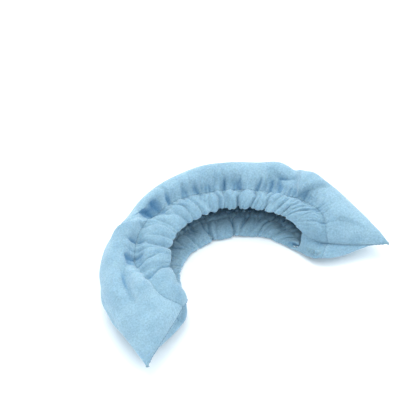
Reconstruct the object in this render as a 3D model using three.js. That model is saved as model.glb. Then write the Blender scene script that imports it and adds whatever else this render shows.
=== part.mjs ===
// Elasticated crescent cover: a velour pouch that lies on its side and curls round, because the
// elastic that gathers its mouth is shorter than its back. One piece of cloth is folded along the
// back and sewn together at each pointed end. A casing of the same cloth edges each wall of the
// mouth, and one band of elastic runs through both casings.
//
// Millimetres, +Z up, +Y towards the back of the crescent. A place on a wall has two coordinates:
// s runs from -1 at the left end seam to 1 at the right one, and v is 0 at the lip of the mouth,
// 1 at the casing stitching and 2 at the fold.
import * as THREE from "three";

// Plan of the crescent
const BACK_DEPTH = 124; // middle of the fold, from the crescent's centre
const BACK_HALF_WIDTH = 130; // widest point of the fold, likewise
const BACK_LEAN = 4; // the round back leans this far to the left
const BACK_HALF_ANGLE = THREE.MathUtils.degToRad(85); // reach of the round back to each side
const LEG = 58; // straight stretch of the fold, from the arc to a tip
const POUCH_WIDTH = 62; // from the fold to the lower lip
const MOUTH_HALF_ANGLE = THREE.MathUtils.degToRad(86); // from the middle to a corner
const LIP_SETBACK = 15; // upper lip behind the lower lip, at the middle
const END_SWELL = 14; // swelling of the lower wall next to an end seam

// Heights
const SEAM_HEIGHT = 22; // fold and end seams above the table
const TIP_HEIGHT = 9; // a tip above the table
const LIP_RISE = 15; // upper lip above the seams
const STITCH_RISE = 21; // casing stitching of the upper wall above the seams
const CASING_ROLL = 5; // swelling of the upper casing
const BACK_PUFF = 5; // swelling of the upper wall behind the casing
const GROOVE = 2.2; // how far the casing stitching pulls the cloth in
const GROOVE_HALF_WIDTH = 5;

// Cloth, elastic and thread
const CLOTH = 2; // velour, with its pile
const CASING = 28; // casing from lip to stitching, at the middle
const END_CASING = 22; // the same, where it turns a corner of the mouth
const TUNNEL = 4.5; // room inside a casing, half-way between its edges
const END_TUNNEL = 3.2; // the same, at a corner of the mouth
const ELASTIC_WIDTH = 14;
const ELASTIC = 1.2; // thickness of the band
const ELASTIC_LAP = 18; // overlap where the band is joined into a loop
const LAP_STITCHES = 5; // zigzag stitches across that overlap
const LAP_THREAD = 0.6; // diameter of their thread
const THREAD = 0.8; // diameter of the other threads
const GAP = 0.3; // clearance between pieces that touch
const THREAD_ROOM = 0.6; // more clearance for a thread between the slopes of its groove

// Fineness of the shapes
const STATIONS = 36;
const CASING_STEPS = 7;
const WALL_STEPS = 9;
const THREAD_SIDES = 6;

const lerp = THREE.MathUtils.lerp;
const ARC = ((BACK_DEPTH + BACK_HALF_WIDTH) / 2) * BACK_HALF_ANGLE;
const HALF_BACK = ARC + LEG;
const NEAR = 1e-3;
const UPPER = 1;
const LOWER = -1;

// ---- The two walls ------------------------------------------------------------------------------

// A round shoulder: 1 at x = 0, and down to 0 at x = 1, where it ends upright.
const shoulder = (x, power) => Math.sqrt(Math.max(0, 1 - Math.abs(x) ** power));

// How far along a wall a place is. It follows a sine, so that equal steps of s close up where the
// walls turn upright to meet.
const reachOf = (s) => Math.sin((Math.PI / 2) * s);

// Plan of the fold at the back.
function foldPlan(s) {
  const along = Math.abs(reachOf(s)) * HALF_BACK;
  const onArc = Math.min(along, ARC);
  const turn = (onArc / ARC) * BACK_HALF_ANGLE;
  const tangent = new THREE.Vector2(BACK_HALF_WIDTH * Math.cos(turn), -BACK_DEPTH * Math.sin(turn));
  const plan = new THREE.Vector2(BACK_HALF_WIDTH * Math.sin(turn), BACK_DEPTH * Math.cos(turn));
  plan.addScaledVector(tangent.normalize(), along - onArc);
  plan.x = Math.sign(s) * plan.x - BACK_LEAN * Math.cos(turn);
  return plan;
}

// Plan of a lip of the mouth.
function lipPlan(side, s) {
  const turn = reachOf(s) * MOUTH_HALF_ANGLE;
  const setback = side === UPPER ? LIP_SETBACK * (1 - reachOf(s) ** 2) : 0;
  const x = (BACK_HALF_WIDTH - POUCH_WIDTH + setback) * Math.sin(turn);
  const y = (BACK_DEPTH - POUCH_WIDTH + setback) * Math.cos(turn);
  return new THREE.Vector2(x, y);
}

const wallWidth = (side, s) => foldPlan(s).distanceTo(lipPlan(side, s));
const casingWidth = (s) => lerp(CASING, END_CASING, reachOf(s) ** 4);

// v of a place that lies some millimetres from the lip.
function placeAt(side, s, distance) {
  const casing = casingWidth(s);
  return distance < casing ? distance / casing : 1 + (distance - casing) / (wallWidth(side, s) - casing);
}

// Unit vector in plan that points out of the right end seam.
const seamRun = foldPlan(1).sub(lipPlan(LOWER, 1)).normalize();
const seamOut = new THREE.Vector2(seamRun.y, -seamRun.x);

// Height of the surface in which the two walls meet.
const seamHeight = (s, v) => lerp(SEAM_HEIGHT, TIP_HEIGHT, reachOf(s) ** 8 * Math.max(0, v - 1));

// Outer face of a wall. Next to the end seams it swells, and the casing stitching pulls it in. With
// detail at 0 it is the plain shape without either.
function outerFace(side, s, v, detail = 1) {
  const reach = reachOf(s);
  const lip = lipPlan(side, s);
  const casing = casingWidth(s);
  const width = wallWidth(side, s);
  const fromLip = v < 1 ? v * casing : lerp(casing, width, v - 1);
  const plan = lip.clone().lerp(foldPlan(s), fromLip / width);

  const nearEnd = Math.max(0, (Math.abs(s) - 0.35) / 0.65);
  const fullness = Math.sin(Math.PI * lerp(0.15, 1, Math.max(0, v / 2) ** 1.3)) * (side === UPPER ? 0.25 : 1);
  const swell = detail * END_SWELL * fullness * Math.sin(Math.PI * nearEnd) ** 2;
  plan.x += Math.sign(s) * seamOut.x * swell;
  plan.y += seamOut.y * swell;

  const behind = Math.max(0, v - 1);
  const nearStitching = 1 - Math.abs(fromLip - casing) / GROOVE_HALF_WIDTH;
  const groove = detail * GROOVE * THREE.MathUtils.clamp(1.4 * nearStitching, 0, 1);
  let height = seamHeight(s, v) * shoulder(reach, 5) * shoulder(behind, 4) - groove * shoulder(reach, 4);
  if (side === UPPER && v < 1) {
    const roll = CASING_ROLL * Math.sin(Math.PI * v);
    height = (lerp(LIP_RISE, STITCH_RISE, v) + roll - groove) * shoulder(reach, 6);
  } else if (side === UPPER) {
    const puff = BACK_PUFF * Math.sin(Math.PI * behind);
    height = (STITCH_RISE * shoulder(behind, 2.6) + puff - groove) * shoulder(reach, 6);
  }
  return new THREE.Vector3(plan.x, plan.y, seamHeight(s, v) + side * (GAP / 2 + Math.max(0, height)));
}

// Unit vector out of a wall. It is measured with half the detail, so that it turns more gently than
// the face does and the inner layers keep clear of each other.
function outwards(side, s, v) {
  const a = THREE.MathUtils.clamp(s, -0.985, 0.985);
  const b = Math.min(v, 1.985);
  const along = outerFace(side, a + NEAR, b, 0.5).sub(outerFace(side, a - NEAR, b, 0.5));
  const across = outerFace(side, a, b + NEAR, 0.5).sub(outerFace(side, a, b - NEAR, 0.5));
  return along.cross(across).multiplyScalar(side).normalize();
}

// A point under the outer face, or over it if the depth is negative. It never crosses the surface
// in which the two walls meet.
function underFace(side, s, v, depth) {
  const point = outerFace(side, s, v).addScaledVector(outwards(side, s, v), -depth);
  const meeting = seamHeight(s, v);
  point.z = side === UPPER ? Math.max(point.z, meeting + GAP / 2) : Math.min(point.z, meeting - GAP / 2);
  return point;
}

// ---- Mesh builders ------------------------------------------------------------------------------

// A thick sheet from two grids of points, its outer and its inner face. Both have a row for each
// station. The sheet's ends and edges are closed, or the last row runs on into the first.
function sheet(outer, inner, { loop = false } = {}) {
  const rows = outer.length;
  const width = outer[0].length;
  const points = [...outer.flat(), ...inner.flat()];
  const faces = [];
  const quad = (a, b, c, d) => faces.push(a, b, c, a, c, d);
  const at = (row, column, layer) => (layer * rows + (row % rows)) * width + column;
  for (let row = 0; row < (loop ? rows : rows - 1); row++) {
    for (let k = 0; k < width - 1; k++) {
      quad(at(row, k, 0), at(row + 1, k, 0), at(row + 1, k + 1, 0), at(row, k + 1, 0));
      quad(at(row, k, 1), at(row, k + 1, 1), at(row + 1, k + 1, 1), at(row + 1, k, 1));
    }
    quad(at(row, 0, 0), at(row, 0, 1), at(row + 1, 0, 1), at(row + 1, 0, 0));
    const k = width - 1;
    quad(at(row, k, 0), at(row + 1, k, 0), at(row + 1, k, 1), at(row, k, 1));
  }
  for (let k = 0; k < width - 1 && !loop; k++) {
    quad(at(0, k, 0), at(0, k + 1, 0), at(0, k + 1, 1), at(0, k, 1));
    quad(at(rows - 1, k, 0), at(rows - 1, k, 1), at(rows - 1, k + 1, 1), at(rows - 1, k + 1, 0));
  }
  return meshFrom(points, faces);
}

// A thread along a row of places, each a point with the way out of the cloth there.
function thread(places, diameter, { loop = false } = {}) {
  const count = places.length;
  const rings = places.map(({ point, out }, i) => {
    const before = places[loop ? (i + count - 1) % count : Math.max(0, i - 1)].point;
    const after = places[loop ? (i + 1) % count : Math.min(count - 1, i + 1)].point;
    const along = after.clone().sub(before).normalize();
    const side = along.clone().cross(out).normalize();
    const up = side.clone().cross(along);
    return Array.from({ length: THREAD_SIDES }, (_, k) => {
      const turn = (k / THREAD_SIDES) * 2 * Math.PI;
      const ring = point.clone().addScaledVector(up, (diameter / 2) * Math.cos(turn));
      return ring.addScaledVector(side, (diameter / 2) * Math.sin(turn));
    });
  });
  const faces = [];
  for (let i = 0; i < (loop ? count : count - 1); i++)
    for (let k = 0; k < THREAD_SIDES; k++) {
      const next = ((i + 1) % count) * THREAD_SIDES;
      const l = (k + 1) % THREAD_SIDES;
      faces.push(i * THREAD_SIDES + k, next + k, next + l);
      faces.push(i * THREAD_SIDES + k, next + l, i * THREAD_SIDES + l);
    }
  for (let k = 1; k < THREAD_SIDES - 1 && !loop; k++) {
    const last = (count - 1) * THREAD_SIDES;
    faces.push(0, k, k + 1);
    faces.push(last, last + k + 1, last + k);
  }
  return meshFrom(rings.flat(), faces);
}

// A geometry whose faces point out.
function meshFrom(points, faces) {
  let volume = 0;
  for (let i = 0; i < faces.length; i += 3) {
    const [a, b, c] = [0, 1, 2].map((k) => points[faces[i + k]]);
    volume += a.dot(b.clone().cross(c));
  }
  if (volume < 0) faces.reverse();
  const geometry = new THREE.BufferGeometry().setFromPoints(points);
  geometry.setIndex(faces);
  geometry.computeVertexNormals();
  return geometry;
}

const series = (steps, from, to) => Array.from({ length: steps + 1 }, (_, i) => lerp(from, to, i / steps));
const stations = series(STATIONS, -1, 1);

// ---- Pieces -------------------------------------------------------------------------------------

const cover = new THREE.Group();

function add(name, geometry, color, roughness) {
  const mesh = new THREE.Mesh(geometry, new THREE.MeshStandardMaterial({ color, roughness, metalness: 0 }));
  mesh.name = name;
  cover.add(mesh);
}

const VELOUR = 0x9cc4e0;
const SEWING_THREAD = 0x86b2d2;
const BAND_WHITE = 0xe9edf0;

// Shell: from the upper stitching over the back, round the fold and back along the table.
const shellFace = (depth) =>
  stations.map((s) => {
    const wall = (side) => {
      const start = placeAt(side, s, casingWidth(s) + GAP);
      return series(WALL_STEPS, 0, 1).map((t) => underFace(side, s, lerp(start, 2, reachOf(t)), depth));
    };
    return [...wall(UPPER), ...wall(LOWER).reverse()];
  });
add("shell", sheet(shellFace(0), shellFace(CLOTH)), VELOUR, 0.95);

// Room between the two plies of a casing: widest half-way between lip and stitching, and next to
// nothing at both.
const ROOMY = 1 - (2 * GAP) / END_CASING;
const tunnelAt = (s, v) =>
  GAP + lerp(TUNNEL, END_TUNNEL, reachOf(s) ** 4) * shoulder((2 * v - 1) / ROOMY, 2);

// Casings: a strip of cloth doubled back round the lip, its two edges together at the stitching.
// inset is 0 on the outside of the cloth and CLOTH in the tunnel.
function casingFace(side, s, inset) {
  const lip = placeAt(side, s, CLOTH);
  const places = series(CASING_STEPS, placeAt(side, s, casingWidth(s) - GAP), lip);
  const outer = places.map((v) => underFace(side, s, v, inset));
  const inner = places.map((v) => underFace(side, s, v, 2 * CLOTH + tunnelAt(s, v) - inset));
  const middle = CLOTH + tunnelAt(s, lip) / 2;
  const bend = series(4, 0, Math.PI).slice(1, -1).map((turn) => {
    const v = placeAt(side, s, CLOTH - (CLOTH - inset) * Math.sin(turn));
    return underFace(side, s, v, middle - (middle - inset) * Math.cos(turn));
  });
  return [...outer, ...bend, ...inner.reverse()];
}
for (const [name, side] of [["upper_casing", UPPER], ["lower_casing", LOWER]]) {
  const face = stations.map((s) => casingFace(side, s, 0));
  const tunnel = stations.map((s) => casingFace(side, s, CLOTH - NEAR));
  add(name, sheet(face, tunnel), VELOUR, 0.95);
}

// A way round the mouth. It starts in the middle of the lower lip at 0, passes the right corner at 1,
// the middle of the upper lip at 2 and the left corner at 3, and is back at 4.
function mouthWay(way) {
  const w = way % 4;
  if (w <= 1) return [LOWER, w];
  return w < 3 ? [UPPER, 2 - w] : [LOWER, w - 4];
}

// Elastic: one band through both casings. Its two ends overlap in the middle of the lower lip, so it
// winds inwards by its own thickness on the way round.
const LAP_WAY = ELASTIC_LAP / outerFace(LOWER, 0, 0.5).distanceTo(outerFace(LOWER, 0.1, 0.5)) / 10;
const LAST_WAY = 4 + LAP_WAY;
function bandPoint(way, fromMiddle, lift) {
  const [side, s] = mouthWay(way);
  const v = placeAt(side, s, casingWidth(s) / 2 + fromMiddle);
  const winding = (ELASTIC + GAP) * (way / LAST_WAY - 0.5);
  return underFace(side, s, v, CLOTH + tunnelAt(s, v) / 2 + winding + lift);
}
const bandWays = [...series(2 * STATIONS, 0, 4), lerp(4, LAST_WAY, 0.5), LAST_WAY];
const bandFace = (lift) =>
  bandWays.map((way) => series(3, -0.5, 0.5).map((part) => bandPoint(way, part * ELASTIC_WIDTH, lift)));
add("elastic_band", sheet(bandFace(-ELASTIC / 2), bandFace(ELASTIC / 2)), BAND_WHITE, 0.8);

// Zigzag stitching that holds the overlap together.
const lapPlaces = series(2 * LAP_STITCHES, 0.15, 0.85).map((part, i) => {
  const way = 4 + part * LAP_WAY;
  const lift = ELASTIC / 2 + GAP + LAP_THREAD / 2;
  const [side, s] = mouthWay(way);
  return { point: bandPoint(way, (i % 2 ? 0.25 : -0.25) * ELASTIC_WIDTH, lift), out: outwards(side, s, 0.5) };
});
add("elastic_join_thread", thread(lapPlaces, LAP_THREAD), SEWING_THREAD, 0.7);

// Casing stitching, right round the mouth: a thread in the groove outside the cloth, and one on the
// inside of the shell, next to the casing's edge.
const FROM_GROOVE = GAP + THREAD_ROOM + THREAD / 2;
for (const [name, depth, pastGroove] of [
  ["casing_needle_thread", -FROM_GROOVE, 0],
  ["casing_bobbin_thread", CLOTH + FROM_GROOVE, THREAD + GAP],
]) {
  const places = series(2 * STATIONS, 0, 4).slice(0, -1).map((way) => {
    const [side, s] = mouthWay(way);
    const v = placeAt(side, s, casingWidth(s) + pastGroove);
    return { point: underFace(side, s, v, depth), out: outwards(side, s, v) };
  });
  add(name, thread(places, THREAD, { loop: true }), SEWING_THREAD, 0.7);
}

// End seams: a thread along each, outside and inside the cloth. The outer one starts at the lip and
// passes over the casing stitching.
for (const [side, end] of [["left", -1], ["right", 1]]) {
  const out = new THREE.Vector3(end * seamOut.x, seamOut.y, 0);
  const along = (from, to, depth) =>
    series(24, from, to).map((v) => {
      const hop = depth < 0 ? (THREAD_ROOM + THREAD + GAP) * Math.exp(-(((v - 1) * casingWidth(1)) ** 2) / 4) : 0;
      const point = outerFace(UPPER, end, v).addScaledVector(out, hop - depth);
      point.z = seamHeight(end, v);
      return { point, out };
    });
  const outside = thread(along(0.15, 1.95, -(GAP + THREAD / 2)), THREAD);
  const inside = thread(along(1.12, 1.7, CLOTH + GAP + THREAD / 2), THREAD);
  add(`${side}_end_needle_thread`, outside, SEWING_THREAD, 0.7);
  add(`${side}_end_bobbin_thread`, inside, SEWING_THREAD, 0.7);
}

// The origin is at the middle of the box round the cover, on the table.
cover.updateMatrixWorld(true);
const box = new THREE.Box3().setFromObject(cover, true);
const centre = box.getCenter(new THREE.Vector3());
cover.position.set(-centre.x, -centre.y, -box.min.z);

export default cover;
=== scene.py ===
"""Looks of the elasticated crescent cover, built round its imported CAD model."""

import bpy
import numpy as np
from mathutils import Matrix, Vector


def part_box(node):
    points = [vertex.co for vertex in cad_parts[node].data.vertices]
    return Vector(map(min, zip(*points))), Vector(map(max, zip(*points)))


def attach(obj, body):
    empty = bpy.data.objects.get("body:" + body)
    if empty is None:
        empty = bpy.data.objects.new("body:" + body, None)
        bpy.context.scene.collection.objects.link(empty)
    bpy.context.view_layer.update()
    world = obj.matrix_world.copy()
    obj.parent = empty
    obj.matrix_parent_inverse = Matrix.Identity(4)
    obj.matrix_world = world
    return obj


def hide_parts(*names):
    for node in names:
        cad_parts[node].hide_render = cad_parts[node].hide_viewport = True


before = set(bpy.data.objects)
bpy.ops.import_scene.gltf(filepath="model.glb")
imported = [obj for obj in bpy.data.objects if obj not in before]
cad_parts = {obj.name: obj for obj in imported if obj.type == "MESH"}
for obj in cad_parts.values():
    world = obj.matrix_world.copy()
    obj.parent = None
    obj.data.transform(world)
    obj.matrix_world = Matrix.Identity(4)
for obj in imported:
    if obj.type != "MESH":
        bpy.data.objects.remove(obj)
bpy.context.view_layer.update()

# ---- Shell ---------------------------------------------------------------------------------------
# One piece of polyester velour, a knitted cloth with a short soft pile. It is folded along the back
# of the crescent and sewn together at each pointed end. At the mouth it is gathered into the casings,
# so its creases run away from their stitching.

MM = 0.001
UPPER = 1
LOWER = -1

# The sizes of the cut, in millimetres, as the CAD model has them
BACK_DEPTH = 124
BACK_HALF_WIDTH = 130
BACK_LEAN = 4
BACK_HALF_ANGLE = np.radians(85)
LEG = 58
POUCH_WIDTH = 62
MOUTH_HALF_ANGLE = np.radians(86)
LIP_SETBACK = 15
CASING = 28
END_CASING = 22
SEAM_HEIGHT = 22
TIP_HEIGHT = 9
LIP_RISE = 15
STITCH_RISE = 21
CLOTH = 2

# How the soft cloth lies, in millimetres: fuller than the plain CAD walls
END_SWELL = 20
CAD_END_SWELL = 14
CASING_ROLL = 6
BACK_PUFF = 6
GROOVE = 3.0
GROOVE_HALF_WIDTH = 6
WALL_GAP = 0.15

ARC = (BACK_DEPTH + BACK_HALF_WIDTH) / 2 * BACK_HALF_ANGLE


def mix(a, b, t):
    return a + (b - a) * t


def shoulder(x, power):
    """A round shoulder: 1 at x = 0, and down to 0 at x = 1, where it ends upright."""
    return np.sqrt(np.maximum(0, 1 - np.abs(x) ** power))


def reach_of(s):
    return np.sin(np.pi / 2 * s)


def fold_plan(s):
    """Plan of the fold at the back. s runs from -1 at the left end seam to 1 at the right one."""
    along = np.abs(reach_of(s)) * (ARC + LEG)
    on_arc = np.minimum(along, ARC)
    turn = on_arc / ARC * BACK_HALF_ANGLE
    run_x = BACK_HALF_WIDTH * np.cos(turn)
    run_y = -BACK_DEPTH * np.sin(turn)
    run = np.hypot(run_x, run_y)
    x = BACK_HALF_WIDTH * np.sin(turn) + run_x / run * (along - on_arc)
    y = BACK_DEPTH * np.cos(turn) + run_y / run * (along - on_arc)
    return np.stack([np.sign(s) * x - BACK_LEAN * np.cos(turn), y], -1)


def lip_plan(side, s):
    """Plan of a lip of the mouth."""
    turn = reach_of(s) * MOUTH_HALF_ANGLE
    setback = LIP_SETBACK * (1 - reach_of(s) ** 2) if side == UPPER else 0
    x = (BACK_HALF_WIDTH - POUCH_WIDTH + setback) * np.sin(turn)
    y = (BACK_DEPTH - POUCH_WIDTH + setback) * np.cos(turn)
    return np.stack([x, y], -1)


def wall_width(side, s):
    return np.linalg.norm(fold_plan(s) - lip_plan(side, s), axis=-1)


def casing_width(s):
    return mix(CASING, END_CASING, reach_of(s) ** 4)


def seam_height(s, v):
    return mix(SEAM_HEIGHT, TIP_HEIGHT, reach_of(s) ** 8 * np.maximum(0, v - 1))


RIGHT = np.array(1.0)
seam_run = fold_plan(RIGHT) - lip_plan(LOWER, RIGHT)
seam_out = np.array([seam_run[1], -seam_run[0]]) / np.linalg.norm(seam_run)


def plain_wall(side, s, v, swell_size=END_SWELL):
    """Points of a smooth wall. v is 0 at the lip, 1 at the casing stitching and 2 at the fold."""
    reach = reach_of(s)
    lip = lip_plan(side, s)
    casing = casing_width(s)
    width = wall_width(side, s)
    from_lip = np.where(v < 1, v * casing, mix(casing, width, v - 1))
    plan = lip + (fold_plan(s) - lip) * (from_lip / width)[..., None]
    near_end = np.maximum(0, (np.abs(s) - 0.35) / 0.65)
    fullness = np.sin(np.pi * mix(0.15, 1, np.maximum(0, v / 2) ** 1.3)) * (0.25 if side == UPPER else 1)
    swell = swell_size * fullness * np.sin(np.pi * near_end) ** 2
    plan = plan + np.stack([np.sign(s) * seam_out[0] * swell, seam_out[1] * swell], -1)
    behind = np.maximum(0, v - 1)
    # The stitching pulls a groove into the cloth, except on the smooth left end
    smooth_end = 1 - 0.85 * np.clip((-s - 0.42) / 0.14, 0, 1)
    near_stitching = 1 - np.abs(from_lip - casing) / GROOVE_HALF_WIDTH
    groove = GROOVE * smooth_end * np.clip(1.4 * near_stitching, 0, 1)
    if side == UPPER:
        over_casing = mix(LIP_RISE, STITCH_RISE, v) + CASING_ROLL * np.sin(np.pi * v)
        over_panel = STITCH_RISE * shoulder(behind, 2.6) + BACK_PUFF * np.sin(np.pi * behind)
        height = (np.where(v < 1, over_casing, over_panel) - groove) * shoulder(reach, 6)
    else:
        bluntness = np.where(s > 0, 10, 5)
        height = seam_height(s, v) * shoulder(reach, bluntness) * shoulder(behind, 4)
        height = height - groove * shoulder(reach, 4)
    z = seam_height(s, v) + side * (WALL_GAP + np.maximum(0, height))
    return np.concatenate([plan, z[..., None]], -1)


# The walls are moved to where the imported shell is
across_all, along_all = np.meshgrid(np.linspace(1, 2, 41), np.linspace(-1, 1, 401))
both_walls = [
    plain_wall(side, along_all, across_all, CAD_END_SWELL).reshape(-1, 3) for side in (UPPER, LOWER)
]
shell_low, shell_high = [np.array(corner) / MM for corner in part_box("shell")]
all_walls = np.concatenate(both_walls)
lowest = np.min(all_walls, 0)
middle = (np.max(all_walls, 0) + lowest) / 2
PLACE = np.array([*((shell_low + shell_high) / 2 - middle)[:2], shell_low[2] - lowest[2]])


def rise(x, start, end):
    """Smooth step from 0 at start to 1 at end."""
    t = np.clip((x - start) / (end - start), 0, 1)
    return t * t * (3 - 2 * t)


# Big soft folds of the upper wall: s, v, width along s, width along v, height in millimetres
BIG_FOLDS = [
    (0.315, 1.85, 0.05, 0.25, 6.0),
    (0.350, 1.35, 0.042, 0.34, -10.0),
    (0.430, 1.60, 0.030, 0.35, 3.0),
    (0.15, 1.50, 0.09, 0.35, 3.0),
    (-0.10, 1.10, 0.030, 0.30, -5.0),
    (-0.15, 1.55, 0.030, 0.30, -4.0),
    (-0.24, 1.50, 0.045, 0.30, 3.0),
    (-0.37, 1.10, 0.045, 0.18, -5.0),
    (-0.45, 1.43, 0.070, 0.25, -7.0),
    (-0.52, 1.15, 0.050, 0.20, 4.0),
]

# Sharp edges of folds: from s, v to s, v, then how far each side stands proud or sinks, and how many
# millimetres the fold takes to lie flat again
FOLD_EDGES = [
    (0.445, 1.02, 0.355, 1.90, -4.5, 12),
    (0.445, 1.00, 0.500, 1.75, 3.5, 9),
    (-0.40, 1.12, -0.60, 1.52, 5.0, 13),
    (-0.14, 0.95, -0.27, 1.80, 3.5, 10),
    (0.70, 1.25, 0.80, 1.75, 1.5, 12),
]
EDGE_SOFTNESS = 1.6
PANEL_ALONG = 200  # millimetres of panel for one unit of reach
PANEL_ACROSS = 36  # millimetres of panel for one unit of v

# How far the end seams have rolled, and the lower wall bellies out at the right end, in millimetres
RIGHT_SEAM_DROP = 8
RIGHT_SEAM_ROLL = 5
LEFT_SEAM_ROLL = 12
BELLY = 10.5
TIP_LIFT = 8


def bump(x, middle, width):
    """Smooth bump: 1 at the middle, close to 0 two widths away."""
    return np.exp(-(((x - middle) / width) ** 2))


def wall(side, s, v):
    """The soft wall as it lies, in the frame's place."""
    s, v = np.broadcast_arrays(s, v)
    p = plain_wall(side, s, v) + PLACE
    reach = reach_of(s)
    if side == UPPER:
        # The elastic draws the upper lip over the mouth, most of all in the middle
        inwards = lip_plan(side, s) - fold_plan(s)
        inwards /= np.linalg.norm(inwards, axis=-1, keepdims=True)
        at_lip = 7 + 3 * bump(s, -0.38, 0.15)
        at_stitching = 2 + 8 * bump(s, 0.18, 0.25) - 6 * bump(s, 0.62, 0.16)
        drawn = np.where(v < 1, mix(at_lip, at_stitching, v), at_stitching * np.clip(2 - v, 0, 1))
        free = shoulder(reach, 6)
        p[..., :2] += inwards * (drawn * free)[..., None]
        sunk_lip = 5.0
        sunk_stitching = 2 + 4 * bump(s, 0.18, 0.25)
        behind = sunk_stitching * np.clip(2 - v, 0, 1)
        p[..., 2] -= np.where(v < 1, mix(sunk_lip, sunk_stitching, v), behind) * free
        p[..., 2] += 4 * bump(s, 0.15, 0.4) * rise(v, 1.1, 1.7)
    # The fold at the back stands out on the right and is flatter on the left
    p[..., 1] += 4 * (rise(v, 1, 2) * bump(s, 0.2, 0.35))
    flat_back = 5 * rise(v, 0.8, 2) * bump(s, -0.13, 0.1)
    p[..., 0] += 0.5 * flat_back
    p[..., 1] -= 0.85 * flat_back
    right_end = rise(s, 0.3, 0.75)
    p[..., 0] += 6 * right_end
    p[..., 1] += 4 * right_end
    # At the right end the seam has rolled down to the table, at the left one it has rolled outwards
    onset = 0.6 if side == UPPER else 0.85
    rolled = rise(s, onset, 1.0) * np.sin(np.pi / 2 * np.clip(v, 0, 2))
    p[..., 2] -= RIGHT_SEAM_DROP * rolled * (1 if side == UPPER else p[..., 2] / SEAM_HEIGHT)
    p[..., 1] -= RIGHT_SEAM_ROLL * rolled
    rolled = rise(-s, onset, 1.0) * np.sin(np.pi / 2 * np.clip(v + 0.2, 0, 2))
    p[..., 0] += LEFT_SEAM_ROLL * rolled
    if side == LOWER:
        belly = BELLY * bump(s, 0.86, 0.16) * (1 - reach**80) * np.sin(np.pi / 2 * np.clip(v + 0.1, 0, 2))
        p[..., 0] += seam_out[0] * belly
        p[..., 1] += seam_out[1] * belly
    # The left half of the mouth has moved to the right
    mouth_side = 1 - rise(v, 0.3, 1.7)
    p[..., 0] += 5 * rise(-s, 0.1, 0.5) * mouth_side
    if side == LOWER:
        p[..., 0] += 5 * bump(s, -0.35, 0.22) * mouth_side
    # Both tips are lifted off the table
    tip = reach**6 * np.clip(v / 2, 0, 1) ** 2
    left, right = tip * (s < 0), tip * (s > 0)
    p[..., 2] += TIP_LIFT * left + TIP_LIFT * right
    p[..., 0] += 6.5 * left - 3 * right
    p[..., 1] += 3 * left
    return p


def outwards(side, s, v):
    """Unit vectors out of a wall, measured across its stitching groove."""
    s, v = np.broadcast_arrays(s, v)
    s = np.clip(s, -0.99, 0.99)
    v = np.clip(v, 0.0, 1.94)
    along = wall(side, s + 0.01, v) - wall(side, s - 0.01, v)
    across = wall(side, s, v + 0.06) - wall(side, s, v - 0.06)
    out = np.cross(along, across) * side
    return out / np.maximum(1e-9, np.linalg.norm(out, axis=-1, keepdims=True))


def folds(side, s, v):
    """How far the big folds stand out, in millimetres. The lower wall lies on the table without any."""
    if side == LOWER:
        return 0 * (s + v)
    total = sum(
        high * np.exp(-(((s - at_s) / wide_s) ** 2) - ((v - at_v) / wide_v) ** 2)
        for at_s, at_v, wide_s, wide_v, high in BIG_FOLDS
    )
    # Beside each fold edge the cloth steps up or down, and eases back further off
    for from_s, from_v, to_s, to_v, high, wide in FOLD_EDGES:
        ahead_x = (reach_of(to_s) - reach_of(from_s)) * PANEL_ALONG
        ahead_y = (to_v - from_v) * PANEL_ACROSS
        length = np.hypot(ahead_x, ahead_y)
        x = (reach_of(s) - reach_of(from_s)) * PANEL_ALONG
        y = (v - from_v) * PANEL_ACROSS
        beside = (ahead_x * y - ahead_y * x) / length
        part = (ahead_x * x + ahead_y * y) / length**2
        shown = rise(part, -0.1, 0.15) * (1 - rise(part, 0.75, 1.1))
        total = total + high * np.tanh(beside / EDGE_SOFTNESS) * np.exp(-np.abs(beside) / wide) * shown
    return total


def way_out(p):
    """Unit vectors out of a grid of points, whose rows and columns run so that it faces outwards."""
    along = np.gradient(p, axis=0)
    across = np.gradient(p, axis=1)
    out = np.cross(along, across)
    return out / np.maximum(1e-9, np.linalg.norm(out, axis=-1, keepdims=True))


def smooth(values, times):
    """Evens out a grid of points, the borders kept."""
    for _ in range(times):
        inner = (values[:-2] + 2 * values[1:-1] + values[2:]) / 4
        values = np.concatenate([values[:1], inner, values[-1:]])
        inner = (values[:, :-2] + 2 * values[:, 1:-1] + values[:, 2:]) / 4
        values = np.concatenate([values[:, :1], inner, values[:, -1:]], 1)
    return values


RIPPLE_ALONG = 190  # millimetres for one unit of s
RIPPLE_ACROSS = 45  # millimetres for one unit of v


def ripple(s, v, seed, spacing, amount):
    """Slow uneven waves, spacing millimetres apart, for cloth that never lies quite even."""
    rng = np.random.default_rng(seed)
    total = np.zeros(np.broadcast(s, v).shape)
    for _ in range(9):
        pitch = rng.uniform(0.7, 1.5) * spacing
        slant = rng.uniform(-0.9, 0.9)
        phase = rng.uniform(0, 2 * np.pi)
        total += np.sin(2 * np.pi * (s * RIPPLE_ALONG + slant * v * RIPPLE_ACROSS) / pitch + phase)
    return amount * total / 3


STITCH_RUN = 150  # millimetres of casing stitching for one unit of reach

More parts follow.
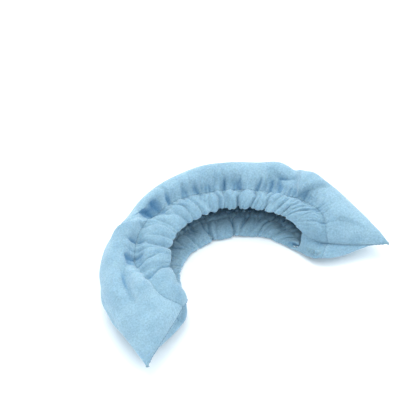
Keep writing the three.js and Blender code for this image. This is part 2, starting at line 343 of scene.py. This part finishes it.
# Gathers that show most: side, s at the stitching, drift from stitching to fold, depth, half-width,
# and the v where each starts and ends
MAIN_GATHERS = [
    (UPPER, -0.28, 0.05, 4.8, 2.4, -0.3, 1.4),
    (UPPER, -0.42, -0.05, 4.4, 2.2, 0.3, 1.35),
    (UPPER, -0.505, 0.0, 5.0, 2.4, -0.1, 1.25),
    (UPPER, -0.13, -0.07, 4.8, 2.8, 0.3, 1.95),
    (UPPER, -0.35, 0.0, 4.4, 2.2, 0.7, 1.3),
    (UPPER, -0.04, 0.0, 3.2, 2.0, 0.4, 1.3),
    (UPPER, 0.0, 0.02, 3.4, 2.0, 0.4, 1.35),
    (UPPER, 0.06, -0.01, 3.4, 1.6, 0.1, 1.3),
    (UPPER, 0.105, -0.035, 5.6, 1.8, -0.2, 1.25),
    (UPPER, 0.15, -0.02, 3.4, 1.4, -0.2, 1.25),
    (UPPER, 0.2, -0.03, 5.0, 1.6, -0.2, 1.4),
    (UPPER, 0.275, -0.04, 4.8, 1.7, -0.2, 1.2),
    (UPPER, 0.445, -0.10, 4.0, 2.0, 0.9, 1.7),
    (UPPER, 0.445, 0.07, 3.0, 1.6, 0.9, 1.6),
    (UPPER, 0.60, 0.03, 5.5, 1.7, 0.3, 1.1),
    (UPPER, 0.72, 0.02, 5.5, 1.7, 0.4, 1.1),
]

# The many smaller gathers. Each side has a seed, their spacing in millimetres at the values of s in
# SPACING_AT, and their usual depth in millimetres at those in DEPTH_AT
SPACING_AT = [-1, -0.6, -0.1, 0.1, 0.5, 1]
DEPTH_AT = [-1, -0.6, -0.45, 0.1, 0.4, 0.6, 1]
SMALL_GATHERS = {
    UPPER: (11, [9, 13, 13, 8, 5.5, 5], [0.4, 0.6, 2.6, 4.4, 3.4, 2.2, 1.0]),
    LOWER: (12, [8, 8, 8, 7, 6, 6], [0.8, 2.4, 3, 3, 3, 2.2, 0.4]),
}


def crease_list(side):
    """Gathers of a wall: s at the stitching, drift, depth, half-width, and the v of both ends."""
    seed, spacings, depths = SMALL_GATHERS[side]
    rng = np.random.default_rng(seed)
    creases = [gather[1:] for gather in MAIN_GATHERS if gather[0] == side]
    at = -0.93
    while at < 0.95:
        spread = np.interp(at, SPACING_AT, spacings)
        depth = np.interp(at, DEPTH_AT, depths)
        # Right of the middle the gathers of the upper wall lean towards the middle
        drift = rng.normal(0, 0.018) - (0.06 * bump(at, 0.4, 0.2) if side == UPPER else 0)
        deep = depth * rng.uniform(0.4, 1.2)
        half = spread * rng.uniform(0.13, 0.2)
        start = rng.uniform(-0.2, 0.35) if rng.random() < 0.5 else -0.3
        creases.append((at, drift, deep, half, start, 1 + rng.uniform(0.25, 0.75)))
        # A short pucker at the stitching and one at the lip, between two long gathers
        for start, end in ((0.55, 1.3), (-0.4, 0.4)):
            beside = at + rng.uniform(0.3, 0.7) * 0.03
            creases.append((beside, 0, depth * rng.uniform(0.2, 0.6), spread * 0.1, start, end))
        run = STITCH_RUN * max(0.3, np.cos(np.pi / 2 * at)) * np.pi / 2
        at += spread * rng.uniform(0.6, 1.4) / run
    return creases


DEEPEST = 7  # millimetres: gathers that meet are no deeper than this


def gathers(side, s, v):
    """How deep the gathers press into a wall, in millimetres."""
    depth = np.zeros(np.broadcast(s, v).shape)
    for at, drift, deep, half, start, end in crease_list(side):
        centre = at + drift * (v - 1) + 0.006 * np.sin(7 * v + 40 * at)
        away = np.abs(reach_of(s) - reach_of(centre)) * STITCH_RUN * (0.75 + 0.25 * v) / half
        length = np.clip((v - start) / 0.3, 0, 1) * np.clip((end - v) / max(0.3, end - 1), 0, 1)
        depth += deep * np.exp(-(away**1.15)) * length
    return DEEPEST * np.tanh(depth / DEEPEST)


def elastic_bed(side, s):
    """How deep the gathers press near a place: the elastic lies just under them."""
    s = np.asarray(s, float)
    total = np.zeros(s.shape)
    for shift in np.linspace(-0.05, 0.05, 7):
        for v in (0.3, 0.5, 0.7):
            total += gathers(side, np.clip(s + shift, -1, 1), v) ** 6
    return (total / 21) ** (1 / 6)


def finer(grid):
    """Twice as many rows and columns, on smooth curves through the old ones."""
    for _ in range(2):
        ends = np.concatenate([2 * grid[:1] - grid[1:2], grid, 2 * grid[-1:] - grid[-2:-1]])
        between = (9 * (ends[1:-2] + ends[2:-1]) - ends[:-3] - ends[3:]) / 16
        made = np.empty((2 * len(grid) - 1, *grid.shape[1:]))
        made[::2] = grid
        made[1::2] = between
        grid = made.swapaxes(0, 1)
    return grid


HALF_TURN = 2.6  # radians: the cloth is laid out as an open tube, where it bends least


def uncut(lengths, across):
    """The cloth before it is gathered: a wide tube with rows of the given lengths, so far apart."""
    turn = np.linspace(-HALF_TURN, HALF_TURN, lengths.shape[0])[:, None]
    radius = (lengths / (2 * HALF_TURN))[0][None, :] + 0 * turn
    step = np.diff(radius[0])
    climb = np.sqrt(np.maximum(across**2 - step**2, (0.2 * across) ** 2))
    height = np.concatenate([[0], np.cumsum(climb)])[None, :] + 0 * turn
    return np.stack([radius * np.sin(turn), radius * np.cos(turn), height], -1)


COLUMNS = 301
stations = np.linspace(-1, 1, COLUMNS)[:, None]
CLOTH_FRAMES = 18


def simulate(grid, rest, pressure, cap):
    """Lets the gathered cloth find its own folds with Blender's Cloth; all four borders are held."""
    rows, width = grid.shape[:2]
    index = np.arange(rows * width).reshape(rows, width)
    faces = np.stack([index[:-1, :-1], index[1:, :-1], index[1:, 1:], index[:-1, 1:]], -1).reshape(-1, 4)
    mesh = bpy.data.meshes.new("cloth_trial")
    mesh.from_pydata((grid.reshape(-1, 3) * MM).tolist(), [], faces.tolist())
    trial = bpy.data.objects.new("cloth_trial", mesh)
    bpy.context.collection.objects.link(trial)
    held = np.zeros(grid.shape[:2], bool)
    held[:, [0, -1]] = True
    held[[0, -1]] = True
    pins = trial.vertex_groups.new(name="held")
    pins.add([int(i) for i in index[held]], 1.0, "REPLACE")
    trial.shape_key_add(name="Basis")
    cut = trial.shape_key_add(name="cut")
    cut.data.foreach_set("co", (rest.reshape(-1, 3) * MM).ravel())
    cut.value = 0
    # Velour: light, hard to stretch and easy to bend
    cloth = trial.modifiers.new("cloth", "CLOTH")
    made = cloth.settings
    made.quality = 8
    made.mass = 0.3
    made.tension_stiffness = 15
    made.compression_stiffness = 15
    made.shear_stiffness = 5
    made.bending_stiffness = 0.6
    made.vertex_group_mass = "held"
    made.rest_shape_key = cut
    made.use_pressure = True
    made.uniform_pressure_force = pressure
    made.effector_weights.gravity = 0
    cloth.collision_settings.use_collision = False
    cloth.point_cache.frame_start = 1
    cloth.point_cache.frame_end = CLOTH_FRAMES
    for frame_number in range(1, CLOTH_FRAMES + 1):
        bpy.context.scene.frame_set(frame_number)
    settled = trial.evaluated_get(bpy.context.evaluated_depsgraph_get()).data
    points = np.empty(rows * width * 3)
    settled.vertices.foreach_get("co", points)
    points = points.reshape(rows, width, 3) / MM
    bpy.context.scene.frame_set(1)
    bpy.data.objects.remove(trial)
    move = points - grid
    far = np.linalg.norm(move, axis=-1, keepdims=True)
    # The cloth is free in the middle and stays as drawn towards both ends, most of all the left one
    loose = shoulder(reach_of(stations), 6)[..., None] ** 3
    loose = loose * (1 - 0.85 * rise(-stations, 0.5, 0.62))[..., None]
    return grid + loose * move * (cap * np.tanh(far / cap) / np.maximum(far, 1e-9))


LEVEL = 0.25
CREASE_PASSES = 12  # smoothing that evens out single creases
FOLD_PASSES = 260  # smoothing that evens out whole folds


def hollows(skin, out):
    """How much painted shade the colour gets: from 0 on a ridge, over LEVEL on even cloth, to 1 in a
    crease or a deep fold.
    """
    fine = ((smooth(skin, CREASE_PASSES) - skin) * out).sum(-1)
    wide = ((smooth(skin, FOLD_PASSES) - skin) * out).sum(-1)
    depth = 0.4 * np.clip(fine / 0.8, -0.35, 1) + 0.75 * np.clip(wide / 4.0, -0.35, 1)
    return np.clip((depth + 0.35) / 1.4, 0, 1)


def cloth_mesh(name, skin, thickness):
    """A closed sheet of cloth from the grid of its visible face, with its other face inside."""
    rows, width = skin.shape[:2]
    out = way_out(smooth(skin, 3))
    inner = skin - out * thickness
    points = np.concatenate([skin.reshape(-1, 3), inner.reshape(-1, 3)]) * MM
    index = np.arange(rows * width).reshape(rows, width)
    a, b, c, d = index[:-1, :-1], index[1:, :-1], index[1:, 1:], index[:-1, 1:]
    top = np.stack([a, b, c, d], -1).reshape(-1, 4)
    back = np.stack([d, c, b, a], -1).reshape(-1, 4) + rows * width
    rims = []
    for edge in (index[:, 0][::-1], index[:, -1], index[0], index[-1][::-1]):
        here, ahead = edge[:-1], edge[1:]
        rims.append(np.stack([ahead, ahead + rows * width, here + rows * width, here], -1))
    faces = np.concatenate([top, back, *rims])
    mesh = bpy.data.meshes.new(name)
    mesh.from_pydata(points.tolist(), [], faces.tolist())
    mesh.validate()
    mesh.update()
    mesh.polygons.foreach_set("use_smooth", [True] * len(mesh.polygons))
    # The cut edges are sharp
    border = np.zeros(rows * width, bool)
    border[np.concatenate([index[0], index[-1], index[:, 0], index[:, -1]])] = True
    border = np.concatenate([border, border])
    ends = np.empty(2 * len(mesh.edges), int)
    mesh.edges.foreach_get("vertices", ends)
    mesh.edges.foreach_set("use_edge_sharp", border[ends.reshape(-1, 2)].all(1))
    # The painted crease shade for the velour's colour; the hidden inner face gets the even level
    painted_crease_shade = np.concatenate([hollows(skin, out).ravel(), np.full(rows * width, LEVEL)])
    mesh.attributes.new("painted_crease_shade", "FLOAT", "POINT").data.foreach_set("value", painted_crease_shade)
    piece = bpy.data.objects.new(name, mesh)
    bpy.context.collection.objects.link(piece)
    return piece


SHELL_ROWS = 19
SEAM_GAP = 0.04
SHELL_PRESSURE = 1.5
SHELL_MOVES_MOST = 5


def shell_wall(side):
    """A wall of the shell with its gathers, and the big folds to be laid on it later."""
    first = 1 + SEAM_GAP / (wall_width(side, stations) - casing_width(stations))
    v = mix(first, 2.0, reach_of(np.linspace(0, 1, SHELL_ROWS))[None, :])
    s = stations + 0 * v
    out = outwards(side, s, v)
    free = shoulder(reach_of(s), 4)
    uneven = ripple(s, v, 5 + side, 70, 1.3) + ripple(s, v, 8 + side, 28, 0.6)
    uneven = uneven * np.clip(4 * (v - 1), 0, 1)
    uneven *= np.where(side == LOWER, 1, 0.4 + 0.6 * np.clip(2 - v, 0, 1))
    gathered = wall(side, s, v) + out * ((uneven - gathers(side, s, v)) * free)[..., None]
    return gathered, out * folds(side, s, v)[..., None]


def on_table(points):
    """Nothing goes through the table."""
    points[..., 2] = np.maximum(points[..., 2], 0.05)
    return points


(upper, upper_folds), (lower, lower_folds) = shell_wall(UPPER), shell_wall(LOWER)
skin = on_table(np.concatenate([upper, lower[:, ::-1][:, 1:]], 1))
skin_folds = np.concatenate([upper_folds, lower_folds[:, ::-1][:, 1:]], 1)
fold_row = 2 * (ARC + LEG)
cut_rows = np.concatenate([np.linspace(0.92, 1.0, SHELL_ROWS), np.linspace(1.0, 0.92, SHELL_ROWS)[1:]])
across = np.linalg.norm(np.diff(skin, axis=1), axis=-1).mean(0)
rest = uncut(fold_row * cut_rows[None, :] + 0 * stations, across)
skin = on_table(simulate(skin, rest, SHELL_PRESSURE, SHELL_MOVES_MOST))
shell = cloth_mesh("velour_shell", on_table(finer(skin + skin_folds)), CLOTH)


def linear(hex_colour):
    """sRGB hex to linear colour."""
    parts = [int(hex_colour[i : i + 2], 16) / 255 for i in (1, 3, 5)]
    return [p / 12.92 if p <= 0.04045 else ((p + 0.055) / 1.055) ** 2.4 for p in parts] + [1]


def node(tree, kind, settings=None, inputs=None, links=None):
    """Adds a node with its settings, input values and links. A link is input: (node, output)."""
    made = tree.nodes.new(kind)
    for key, value in (settings or {}).items():
        setattr(made, key, value)
    for key, value in (inputs or {}).items():
        made.inputs[key].default_value = value
    for key, (source, output) in (links or {}).items():
        tree.links.new(source.outputs[output], made.inputs[key])
    return made


def velour(name, pale, mid, deep):
    """Polyester velour, knitted and sheared: matt, with a soft sheen along its edges."""
    material = bpy.data.materials.new(name)
    material.use_nodes = True
    tree = material.node_tree
    tree.nodes.clear()
    place = node(tree, "ShaderNodeTexCoord")
    # The nap leans this way and that in patches about 20 mm across
    nap = node(
        tree,
        "ShaderNodeTexNoise",
        inputs={"Scale": 55, "Detail": 3, "Roughness": 0.55},
        links={"Vector": (place, "Object")},
    )
    # Tufts of the pile: really 0.3 mm apart, drawn about 1.5 mm apart so that they show
    pile = node(
        tree,
        "ShaderNodeTexNoise",
        inputs={"Scale": 650, "Detail": 2, "Roughness": 0.6},
        links={"Vector": (place, "Object")},
    )
    tone = node(tree, "ShaderNodeValToRGB", links={"Fac": (nap, "Fac")})
    tone.color_ramp.elements[0].position = 0.32
    tone.color_ramp.elements[0].color = linear(deep)
    tone.color_ramp.elements[1].position = 0.7
    tone.color_ramp.elements[1].color = linear(pale)
    middle_tone = tone.color_ramp.elements.new(0.5)
    middle_tone.color = linear(mid)
    speck = node(
        tree,
        "ShaderNodeMapRange",
        inputs={"From Min": 0.3, "From Max": 0.7, "To Min": 0.82, "To Max": 1.1},
        links={"Value": (pile, "Fac")},
    )
    colour = node(
        tree,
        "ShaderNodeVectorMath",
        {"operation": "MULTIPLY"},
        links={0: (tone, "Color"), 1: (speck, "Result")},
    )
    # Painted shade: the colour is darkened in creases and deep folds, where shade falls
    crease = node(tree, "ShaderNodeAttribute", {"attribute_name": "painted_crease_shade"})
    crease_shade = node(tree, "ShaderNodeValToRGB", links={"Fac": (crease, "Fac")})
    crease_shade.color_ramp.elements[0].color = linear("#ffffff")
    crease_shade.color_ramp.elements[1].color = linear("#a6c9e4")
    level = crease_shade.color_ramp.elements.new(LEVEL)
    level.color = linear("#f7f9fa")
    colour = node(
        tree,
        "ShaderNodeVectorMath",
        {"operation": "MULTIPLY"},
        links={0: (colour, 0), 1: (crease_shade, "Color")},
    )
    relief = node(
        tree,
        "ShaderNodeBump",
        inputs={"Strength": 0.8, "Distance": 0.001},
        links={"Height": (pile, "Fac")},
    )
    cloth = node(
        tree,
        "ShaderNodeBsdfPrincipled",
        inputs={
            "Roughness": 0.95,
            "Sheen Weight": 0.5,
            "Sheen Roughness": 0.4,
            "Specular IOR Level": 0.15,
            "Subsurface Weight": 0.3,
            "Subsurface Radius": (0.6, 1.0, 1.6),
            "Subsurface Scale": 0.003,
            "Sheen Tint": linear("#dcebf5"),
        },
        links={"Base Color": (colour, 0), "Normal": (relief, "Normal")},
    )
    node(tree, "ShaderNodeOutputMaterial", links={"Surface": (cloth, "BSDF")})
    return material


shell_velour = velour("pale_blue_velour", "#9cbccd", "#94b4c6", "#8bacbf")
shell.data.materials.append(shell_velour)
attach(shell, "root")
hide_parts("shell")

# ---- Casings -------------------------------------------------------------------------------------
# The edge of the mouth, above and below: a strip of the same velour doubled back round the lip, with
# the elastic inside. The elastic draws it up into soft lobes with deep creases between them. Both its
# edges are caught in one row of stitching.

CASING_ROWS = 12
BEND_ROWS = 5
CASING_CLOTH = 0.9 * CLOTH
TUNNEL = 4.5
END_TUNNEL = 3.2
CASING_PRESSURE = 1.0
CASING_MOVES_MOST = 4
STITCHED_LENGTH = 2 * (ARC + LEG) * 0.92
LIP_LENGTH = 300
LIP_REACH = 3.4
BED_SHARE = 0.8


def casing(side):
    """The visible face of a casing, from the stitching over the outside, round the lip and back inside."""
    casing_mm = casing_width(stations)
    v = mix(1 - SEAM_GAP / casing_mm, CLOTH / casing_mm, np.linspace(0, 1, CASING_ROWS)[None, :])
    s = stations + 0 * v
    p = wall(side, s, v)
    out = outwards(side, s, v)
    free = shoulder(reach_of(s), 4)
    waves = gathers(side, s, v)
    uneven = ripple(s, v, 15 + side, 25, 0.5) * np.clip(4 * (1 - v), 0, 1)
    # Each casing's deepest gathers are on the face that is seen: outside above, inside below
    outside, inside = (1, 0) if side == UPPER else (0.35, 1)
    outer = p + out * ((uneven - outside * waves) * free)[..., None]
    room = mix(TUNNEL, END_TUNNEL, reach_of(s) ** 4) * shoulder(2 * v - 1, 2)
    deep = 2 * CLOTH + 0.3 + room
    if side == UPPER:
        deep = deep + BED_SHARE * elastic_bed(side, s) * shoulder(2 * v - 1, 2)
    else:
        deep = mix(deep, 2.4 * CLOTH, rise(np.abs(s), 0.7, 0.85))
    inner = p - out * (deep - inside * waves * free)[..., None]
    start, end = outer[:, -1], inner[:, -1]
    centre = (start + end) / 2
    forward = p[:, -1] - p[:, -2]
    forward = forward / np.linalg.norm(forward, axis=-1, keepdims=True)
    reach_out = LIP_REACH - 0.8 * waves[:, -1:] * free[:, -1:]
    bend = []
    for turn in np.linspace(0, np.pi, BEND_ROWS + 2)[1:-1]:
        bend.append(centre + (start - centre) * np.cos(turn) + forward * reach_out * np.sin(turn))
    rows = np.concatenate([outer, np.stack(bend, 1), inner[:, ::-1]], 1)
    across = np.linalg.norm(np.diff(rows, axis=1), axis=-1).mean(0)
    along = np.concatenate(
        [
            np.linspace(STITCHED_LENGTH, LIP_LENGTH, CASING_ROWS),
            np.full(BEND_ROWS, LIP_LENGTH),
            np.linspace(LIP_LENGTH, STITCHED_LENGTH, CASING_ROWS),
        ]
    )
    rest = uncut(along[None, :] + 0 * stations, across)
    # Pressure pushes the way the grid faces, so the upper casing is turned round for it
    order = -1 if side == UPPER else 1
    rows = simulate(rows[::order], rest, CASING_PRESSURE, CASING_MOVES_MOST)[::order]
    folded = folds(side, s, v)
    folded = np.concatenate([folded, np.repeat(folded[:, -1:], BEND_ROWS, 1), folded[:, ::-1]], 1)
    outs = np.concatenate([out, np.repeat(out[:, -1:], BEND_ROWS, 1), out[:, ::-1]], 1)
    face = on_table(finer(rows + outs * folded[..., None]))
    return face[::-1] if side == UPPER else face


# The same velour, painted a shade deeper than the shell's: painted shade for the casings, which face away
# from the light
shaded_casing_velour = velour("painted_shade_casing_velour", "#91b2c4", "#89aabd", "#7fa1b5")
for name, side in (("upper_casing", UPPER), ("lower_casing", LOWER)):
    piece = cloth_mesh("velour_" + name, casing(side), CASING_CLOTH)
    piece.data.materials.append(shaded_casing_velour)
    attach(piece, "root")
    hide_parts(name)

# ---- Elastic --------------------------------------------------------------------------------------
# A woven white elastic, 14 mm wide. It runs through both casings and is overlapped and zigzag
# stitched into a loop in the middle of the lower lip. The casings hide all of it.
ELASTIC_WIDTH = 14
ELASTIC = 1.2
ELASTIC_LAP = 0.06
BAND_STEPS = 400
# How far through the tunnel it lies from the outer face, in the upper and in the lower casing
UPPER_SHARE = 0.68
LOWER_SHARE = 0.32


def mouth_way(way):
    """A way round the mouth: side and s. It starts in the middle of the lower lip and ends at 4."""
    way = way % 4
    side = np.where((way <= 1) | (way >= 3), LOWER, UPPER)
    s = np.where(way <= 1, way, np.where(way < 3, 2 - way, way - 4))
    return side, s


def under_wall(way, from_middle, depth):
    """Points under the casings' outer faces, and the ways out there."""
    side, s = mouth_way(way)
    # At both ends it lies a little nearer to the stitching
    v = mix(0.5, 0.58, rise(np.abs(s), 0.7, 0.85)) + from_middle / casing_width(s)
    points, outs = np.zeros((len(s), 3)), np.zeros((len(s), 3))
    for one in (UPPER, LOWER):
        out = outwards(one, s, v)
        point = wall(one, s, v) - out * np.broadcast_to(depth, s.shape)[:, None]
        meeting = seam_height(s, v) + PLACE[2]
        point[:, 2] = one * np.maximum(one * point[:, 2], one * meeting + WALL_GAP)
        points = np.where((side == one)[:, None], point, points)
        outs = np.where((side == one)[:, None], out, outs)
    return points, outs


ways = np.linspace(0, 4 + ELASTIC_LAP, BAND_STEPS)
band_side, band_s = mouth_way(ways)
band_share = np.where(band_side == UPPER, UPPER_SHARE, LOWER_SHARE)
lap_step = ELASTIC * (ways / 4 - 0.5)
band_depth = CLOTH + band_share * mix(TUNNEL, END_TUNNEL, reach_of(band_s) ** 4) + lap_step
band_depth += np.where(band_side == UPPER, BED_SHARE * elastic_bed(UPPER, band_s), 0)
band_face = np.stack(
    [under_wall(ways, part * ELASTIC_WIDTH, band_depth)[0] for part in np.linspace(-0.5, 0.5, 7)], 1
)
band = cloth_mesh("woven_elastic_band", band_face, ELASTIC)
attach(band, "root")
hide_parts("elastic_band")

# Woven polyester over rubber threads: white and matt, with ribs really 1 mm apart, drawn about 2 mm
webbing = bpy.data.materials.new("woven_white_elastic")
webbing.use_nodes = True
tree = webbing.node_tree
tree.nodes.clear()
place = node(tree, "ShaderNodeTexCoord")
ribs = node(
    tree,
    "ShaderNodeTexWave",
    {"wave_type": "BANDS", "bands_direction": "DIAGONAL"},
    {"Scale": 180, "Distortion": 1.5},
    {"Vector": (place, "Object")},
)
shade = node(tree, "ShaderNodeValToRGB", links={"Fac": (ribs, "Fac")})
shade.color_ramp.elements[0].color = linear("#d3d8db")
shade.color_ramp.elements[1].color = linear("#f1f3f4")
rib_relief = node(
    tree, "ShaderNodeBump", inputs={"Strength": 0.4, "Distance": 0.0003}, links={"Height": (ribs, "Fac")}
)
woven = node(
    tree,
    "ShaderNodeBsdfPrincipled",
    inputs={"Roughness": 0.8},
    links={"Base Color": (shade, "Color"), "Normal": (rib_relief, "Normal")},
)
node(tree, "ShaderNodeOutputMaterial", links={"Surface": (woven, "BSDF")})
band.data.materials.append(webbing)

# ---- Stitching ------------------------------------------------------------------------------------
# Polyester sewing thread, about 0.6 mm thick and dyed to match. Lockstitch 3 mm long holds the casings
# and closes the two ends: the needle thread shows outside, the bobbin thread inside.
STITCH = 3.0
STITCH_SHOWS = 2.5
THREAD = 0.6
RINGS = 6
SIDES = 6


def stitches(name, path, outs, node_name, lift):
    """Separate stitches along a path, each a short bowed length of thread that sinks in at both ends."""
    run = np.concatenate([[0], np.cumsum(np.linalg.norm(np.diff(path, axis=0), axis=1))])
    count = int(run[-1] // STITCH)
    points, faces = [], []
    for number in range(count):
        start = (number + 0.5) * STITCH - STITCH_SHOWS / 2
        rings = []
        for part in np.linspace(0, 1, RINGS):
            at = start + part * STITCH_SHOWS
            centre = np.array([np.interp(at, run, path[:, k]) for k in range(3)])
            out = np.array([np.interp(at, run, outs[:, k]) for k in range(3)])
            ahead = np.array([np.interp(at + 0.4, run, path[:, k]) for k in range(3)]) - centre
            out /= max(1e-9, np.linalg.norm(out))
            across = np.cross(ahead, out)
            across /= max(1e-9, np.linalg.norm(across))
            bow = np.sin(np.pi * part)
            centre = centre + out * (lift - 0.5 * THREAD * (1 - bow))
            half = THREAD / 2 * (0.45 + 0.55 * bow**0.5)
            turns = np.arange(SIDES) * 2 * np.pi / SIDES
            rings.append([centre + half * (np.cos(t) * out + np.sin(t) * across) for t in turns])
        base = len(points)
        points.extend(point for ring in rings for point in ring)
        last = base + (RINGS - 1) * SIDES
        for ring in range(base, last, SIDES):
            for k in range(SIDES):
                a, b = ring + k, ring + (k + 1) % SIDES
                faces.append((a, b, b + SIDES, a + SIDES))
        faces.append(tuple(base + k for k in range(SIDES - 1, -1, -1)))
        faces.append(tuple(last + k for k in range(SIDES)))
    mesh = bpy.data.meshes.new(name)
    mesh.from_pydata((np.array(points) * MM).tolist(), [], faces)
    mesh.update()
    mesh.polygons.foreach_set("use_smooth", [True] * len(mesh.polygons))
    piece = bpy.data.objects.new(name, mesh)
    bpy.context.collection.objects.link(piece)
    piece.data.materials.append(thread_stuff)
    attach(piece, "root")
    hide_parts(node_name)
    return piece


# Twisted polyester, a little glossier than the pile it sinks into, and painted deeper in colour: painted
# shade for the dimples where the stitches sink in
thread_stuff = bpy.data.materials.new("twisted_polyester_thread")
thread_stuff.use_nodes = True
tree = thread_stuff.node_tree
tree.nodes.clear()
place = node(tree, "ShaderNodeTexCoord")
twist = node(tree, "ShaderNodeTexNoise", inputs={"Scale": 1500}, links={"Vector": (place, "Object")})
tint = node(tree, "ShaderNodeValToRGB", links={"Fac": (twist, "Fac")})
tint.color_ramp.elements[0].color = linear("#5f86a2")
tint.color_ramp.elements[1].color = linear("#7499b3")
spun = node(
    tree, "ShaderNodeBsdfPrincipled", inputs={"Roughness": 0.55}, links={"Base Color": (tint, "Color")}
)
node(tree, "ShaderNodeOutputMaterial", links={"Surface": (spun, "BSDF")})


def stitching_line(depth):
    """The casing stitching right round the mouth, at a depth under the cloth's face."""
    round_ways = np.linspace(0, 4, 801)
    side, s = mouth_way(round_ways)
    points, outs = np.zeros((len(s), 3)), np.zeros((len(s), 3))
    for one in (UPPER, LOWER):
        out = outwards(one, s, 1.0 + 0 * s)
        free = shoulder(reach_of(s), 4)
        push = (folds(one, s, 1.0 + 0 * s) - gathers(one, s, 1.0 + 0 * s)) * free - depth
        point = wall(one, s, 1.0 + 0 * s) + out * push[:, None]
        points = np.where((side == one)[:, None], point, points)
        outs = np.where((side == one)[:, None], out, outs)
    return points, outs


path, outs = stitching_line(0)
stitches("casing_needle_stitches", path, outs, "casing_needle_thread", 0.2)
path, outs = stitching_line(CLOTH + 0.4)
stitches("casing_bobbin_stitches", path, -outs, "casing_bobbin_thread", 0.1)
for end_name, end in (("left", -1.0), ("right", 1.0)):
    v = np.linspace(0.12, 1.95, 80)
    path = (wall(UPPER, end + 0 * v, v) + wall(LOWER, end + 0 * v, v)) / 2
    outs = np.tile([end * seam_out[0], seam_out[1], 0], (len(v), 1))
    stitches(end_name + "_end_needle_stitches", path, outs, end_name + "_end_needle_thread", 0.3)
    inside = path[(v > 1.1) & (v < 1.75)] - outs[0] * (CLOTH + 0.5)
    inwards = -outs[: len(inside)]
    stitches(end_name + "_end_bobbin_stitches", inside, inwards, end_name + "_end_bobbin_thread", 0.1)
ZIGZAG_POINTS = 11
zigzag_way = np.linspace(4 + 0.1 * ELASTIC_LAP, 4 + 0.9 * ELASTIC_LAP, ZIGZAG_POINTS)
zigzag = np.where(np.arange(ZIGZAG_POINTS) % 2, 0.25, -0.25) * ELASTIC_WIDTH
zigzag_depth = np.interp(zigzag_way, ways, band_depth) - ELASTIC - 0.1
path, outs = under_wall(zigzag_way, zigzag, zigzag_depth)
stitches("elastic_join_stitches", path, outs, "elastic_join_thread", 0.0)

# ---- Table, light and camera -----------------------------------------------------------------------
# The cover lies on a plain white table under broad soft light, seen from above and a little from its
# left. The sky light is faintly blue and the lamps are faintly warm.
bpy.ops.object.select_all(action="DESELECT")
bpy.ops.mesh.primitive_plane_add(size=6, location=(0, 0, 0))
table = bpy.context.object
table.name = "table"
# Matt white paper, as even as a studio table
paper = bpy.data.materials.new("white_paper")
paper.use_nodes = True
paper.node_tree.nodes["Principled BSDF"].inputs["Base Color"].default_value = linear("#fdfdfd")
paper.node_tree.nodes["Principled BSDF"].inputs["Roughness"].default_value = 0.9
table.data.materials.append(paper)

VIEW_AZIMUTH = np.radians(-33)
VIEW_ELEVATION = np.radians(46)
VIEW_DISTANCE = 1.5
VIEW_WIDTH = 0.372
SENSOR = 36
AIM_LEFT = 0.017
AIM_UP = 0.044
look_back = Vector(
    (
        np.sin(VIEW_AZIMUTH) * np.cos(VIEW_ELEVATION),
        -np.cos(VIEW_AZIMUTH) * np.cos(VIEW_ELEVATION),
        np.sin(VIEW_ELEVATION),
    )
)
look_right = Vector((np.cos(VIEW_AZIMUTH), np.sin(VIEW_AZIMUTH), 0))
look_up = look_back.cross(look_right)
aim = Vector((0, 0, 0.02)) - look_right * AIM_LEFT + look_up * AIM_UP
camera = bpy.data.objects.new("camera", bpy.data.cameras.new("camera"))
camera.data.sensor_width = SENSOR
camera.data.lens = SENSOR * VIEW_DISTANCE / VIEW_WIDTH
camera.location = aim + look_back * VIEW_DISTANCE
camera.rotation_mode = "QUATERNION"
camera.rotation_quaternion = (-look_back).to_track_quat("-Z", "Y")
bpy.context.collection.objects.link(camera)
bpy.context.scene.camera = camera

world = bpy.data.worlds.new("studio")
world.use_nodes = True
world.node_tree.nodes["Background"].inputs["Color"].default_value = (0.85, 0.94, 1, 1)
world.node_tree.nodes["Background"].inputs["Strength"].default_value = 1.2
bpy.context.scene.world = world
bpy.context.scene.view_settings.view_transform = "Standard"
for name, spot, size, power in (
    ("key_light", (0.0, 0.8, 1.6), 1.2, 15),
    ("fill_light", (1.0, -0.5, 1.3), 1.4, 6),
):
    lamp = bpy.data.objects.new(name, bpy.data.lights.new(name, "AREA"))
    lamp.data.size = size
    lamp.data.energy = power
    lamp.data.color = (1, 0.96, 0.9)
    lamp.location = spot
    lamp.rotation_mode = "QUATERNION"
    lamp.rotation_quaternion = (-Vector(spot)).to_track_quat("-Z", "Y")
    bpy.context.collection.objects.link(lamp)
